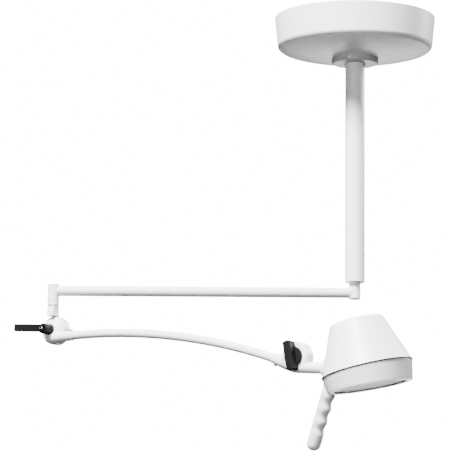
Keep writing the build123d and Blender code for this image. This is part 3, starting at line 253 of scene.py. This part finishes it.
def frosted(name):
    """Clear acrylic with a frosted outer face, so the cups behind show softly."""
    finish = Finish(name)
    tint = finish.ramp(finish.noise(30.0), (0.90, 0.92, 0.93), (0.95, 0.97, 0.98))
    finish.link(tint, finish.shader.inputs["Base Color"])
    haze = finish.span(finish.noise(60.0, 5.0, 0.6), 0.5, 0.6)
    finish.link(haze, finish.shader.inputs["Roughness"])
    finish.bump(finish.noise(1800.0, 2.0), 0.2, 0.00002)
    finish.set(IOR=1.49, Transmission_Weight=0.45, Specular_IOR_Level=0.2)
    return finish.material


def emitter(name):
    """Yellow phosphor under a glossy dome, unlit."""
    finish = Finish(name)
    phosphor = finish.ramp(finish.noise(700.0), (0.95, 0.86, 0.45), (1.0, 0.93, 0.62))
    finish.link(phosphor, finish.shader.inputs["Base Color"])
    finish.link(finish.span(finish.noise(500.0), 0.25, 0.4), finish.shader.inputs["Roughness"])
    finish.set(Coat_Weight=0.5)
    return finish.material


WHITE = (0.80, 0.81, 0.82)
MATERIALS = {
    "white_paint": coated("white_paint", WHITE, 0.38),
    "white_plastic": coated(
        "white_plastic", WHITE, 0.32, grain=1600.0, grain_depth=0.00001, coat=0.15
    ),
    "grey_paint": coated("grey_paint", (0.36, 0.37, 0.38), 0.42),
    "grey_plastic": coated("grey_plastic", (0.42, 0.43, 0.45), 0.5, grain=1500.0),
    "black_plastic": coated(
        "black_plastic",
        (0.005, 0.005, 0.0055),
        0.55,
        grain=1500.0,
        grain_depth=0.00004,
        mottle=0.25,
        shine=0.08,
    ),
    "navy_trim": coated(
        "navy_trim", (0.003, 0.004, 0.016), 0.5, grain=1200.0, mottle=0.15, shine=0.1
    ),
    "chrome_plate": metal("chrome_plate", (0.8, 0.81, 0.82), 0.12, mottle=0.03),
    "steel": metal("steel", (0.56, 0.57, 0.58), 0.32, stretch=(1.0, 1.0, 6.0)),
    "zinc_plate": metal("zinc_plate", (0.55, 0.57, 0.58), 0.45, grain=90.0),
    "bush_plastic": coated("bush_plastic", (0.68, 0.67, 0.63), 0.45),
    "friction_lining": coated("friction_lining", (0.06, 0.052, 0.048), 0.8, mottle=0.3),
    "brass_insert": metal("brass_insert", (0.72, 0.55, 0.25), 0.3),
    "clear_lens": frosted("clear_lens"),
    "seal_rubber": coated("seal_rubber", (0.30, 0.30, 0.30), 0.7, mottle=0.2),
    "black_steel": metal("black_steel", (0.05, 0.05, 0.055), 0.45, grain=400.0),
    "bright_reflector": coated(
        "bright_reflector",
        (0.72, 0.74, 0.76),
        0.12,
        grain=2000.0,
        grain_depth=0.00001,
        metallic=0.9,
    ),
    "led_white": emitter("led_white"),
    "board": coated("board", (0.72, 0.74, 0.72), 0.5),
    "bare_aluminium": metal("bare_aluminium", (0.7, 0.71, 0.72), 0.35, stretch=(8.0, 1.0, 1.0)),
}


def paint_cad_nodes():
    slots = {entry["node"]: entry["material_slot"] for entry in frame["record"]["subparts"]}
    for name, obj in nodes.items():
        material = MATERIALS[slots[name]]
        obj.data.materials.clear()
        obj.data.materials.append(material)


# ------------------------------------------------------------------ detailed pieces
def link_mesh(name, bm, material, body):
    """A finished mesh object, shaded smooth up to an angle, riding on a body."""
    bmesh.ops.recalc_face_normals(bm, faces=bm.faces)
    for face in bm.faces:
        face.smooth = True
    for edge in bm.edges:
        edge.smooth = edge.calc_face_angle() <= SMOOTH_ANGLE
    mesh = bpy.data.meshes.new(name)
    bm.to_mesh(mesh)
    bm.free()
    mesh.materials.append(MATERIALS[material])
    obj = bpy.data.objects.new(name, mesh)
    bpy.context.collection.objects.link(obj)
    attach(obj, body)


def skin_closed_loop(bm, rings):
    """Skin rings that follow each other round a closed path, all with as many points."""
    loops = [[bm.verts.new(point) for point in ring] for ring in rings]
    for low, high in zip(loops, loops[1:] + loops[:1]):
        for i, corner in enumerate(low):
            j = (i + 1) % len(low)
            bm.faces.new((corner, low[j], high[j], high[i]))


def weld_path(post_x, toward):
    """Points round the joint where the arm tube runs into a post."""
    path = []
    for i in range(BEAD_STEPS):
        turn = tau * i / BEAD_STEPS
        y = ARM_R * cos(turn)
        z = ARM_Z + ARM_R * sin(turn)
        path.append(Vector((post_x + toward * sqrt(POST_R**2 - y * y), y, z)))
    return path


def make_weld_bead(name, post_x, toward):
    """A small rippled bead round the end of the upper arm tube."""
    path = weld_path(post_x, toward)
    rings = []
    for i, point in enumerate(path):
        run = (path[(i + 1) % BEAD_STEPS] - path[i - 1]).normalized()
        out = Vector((toward, 0, 0)).cross(run).normalized()
        up = run.cross(out)
        radius = BEAD_R * (1.0 + BEAD_RIPPLE * sin(tau * BEAD_RIPPLES * i / BEAD_STEPS))
        ring = []
        for k in range(BEAD_SIDES):
            angle = tau * k / BEAD_SIDES
            ring.append(point + out * radius * cos(angle) + up * radius * sin(angle))
        rings.append(ring)
    bm = bmesh.new()
    skin_closed_loop(bm, rings)
    link_mesh(name, bm, "white_paint", "upper_arm")


make_camera()
make_world(white=20.0, low=0.3, high=1.3)
make_floor(FLOOR_Z, FLOOR_HALF)
area_light("key", (-3.2, -5.0, 6.0), (-0.2, -0.3, -0.7), 2.8, 6300.0)
area_light("front", (-1.6, -8.0, -1.2), (-0.2, -0.2, -0.5), 2.0, 380.0)
area_light("rim", (5.0, 2.6, 2.0), (0.0, -0.3, -0.7), 2.2, 750.0)
area_light("back_low", (0.6, 5.5, -2.2), (0.0, -0.2, -0.5), 3.0, 130.0)
paint_cad_nodes()
make_weld_bead("weld_bead_right", 0.0, -1)
make_weld_bead("weld_bead_left", -ARM_REACH, 1)
